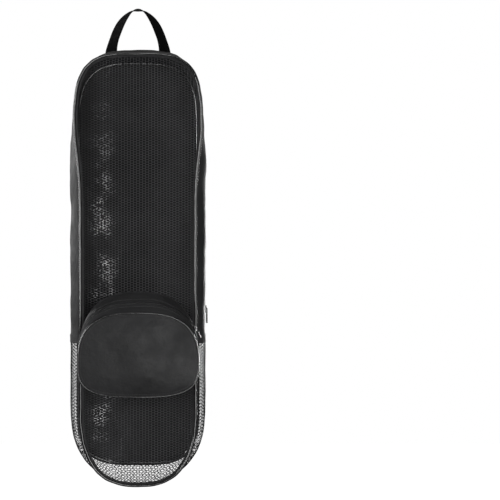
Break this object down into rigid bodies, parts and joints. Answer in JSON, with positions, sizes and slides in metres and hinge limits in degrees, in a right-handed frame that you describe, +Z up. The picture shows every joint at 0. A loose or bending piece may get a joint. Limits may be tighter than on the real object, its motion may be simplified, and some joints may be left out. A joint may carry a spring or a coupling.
{
  "type": "dive backpack",
  "caption": "Long sling bag for swim fins with a see-through net front, zipped front pocket, closed back, top carry handle and one adjustable shoulder strap.",
  "frame": {"origin": "the hook point, on the underside of the carry handle's webbing at its top", "axes": "+Z up as the bag hangs, front with the net and the pocket towards -Y, shoulder strap towards +Y, +X to the right seen from the front"},
  "size_m": [0.225, 0.1494, 0.7686],
  "materials": {
    "nylon": "black coated nylon cloth with a soft sheen",
    "net": "black open polyester net",
    "webbing": "black ribbed webbing",
    "piping": "glossy black piping",
    "zip": "black nylon coil and tape",
    "zip_slider": "black enamelled",
    "hardware": "black moulded, satin"
  },
  "bodies": {
    "root": {"front_net_panel": "net", "back_panel": "nylon", "front_piping": "piping", "back_piping": "piping", "gusset_front_strip": "nylon", "main_zip": "zip", "gusset_back_strip": "nylon", "gusset_net": "net", "main_zip_slider": "zip_slider", "pocket_crown": "nylon", "pocket_zip": "zip", "pocket_rim": "nylon", "pocket_underside": "nylon", "pocket_face": "nylon", "pocket_piping": "piping", "pocket_zip_slider": "zip_slider", "carry_handle": "webbing", "shoulder_strap": "webbing", "strap_anchor": "webbing", "strap_slider": "hardware", "strap_ring": "hardware"}
  },
  "joints": []
}
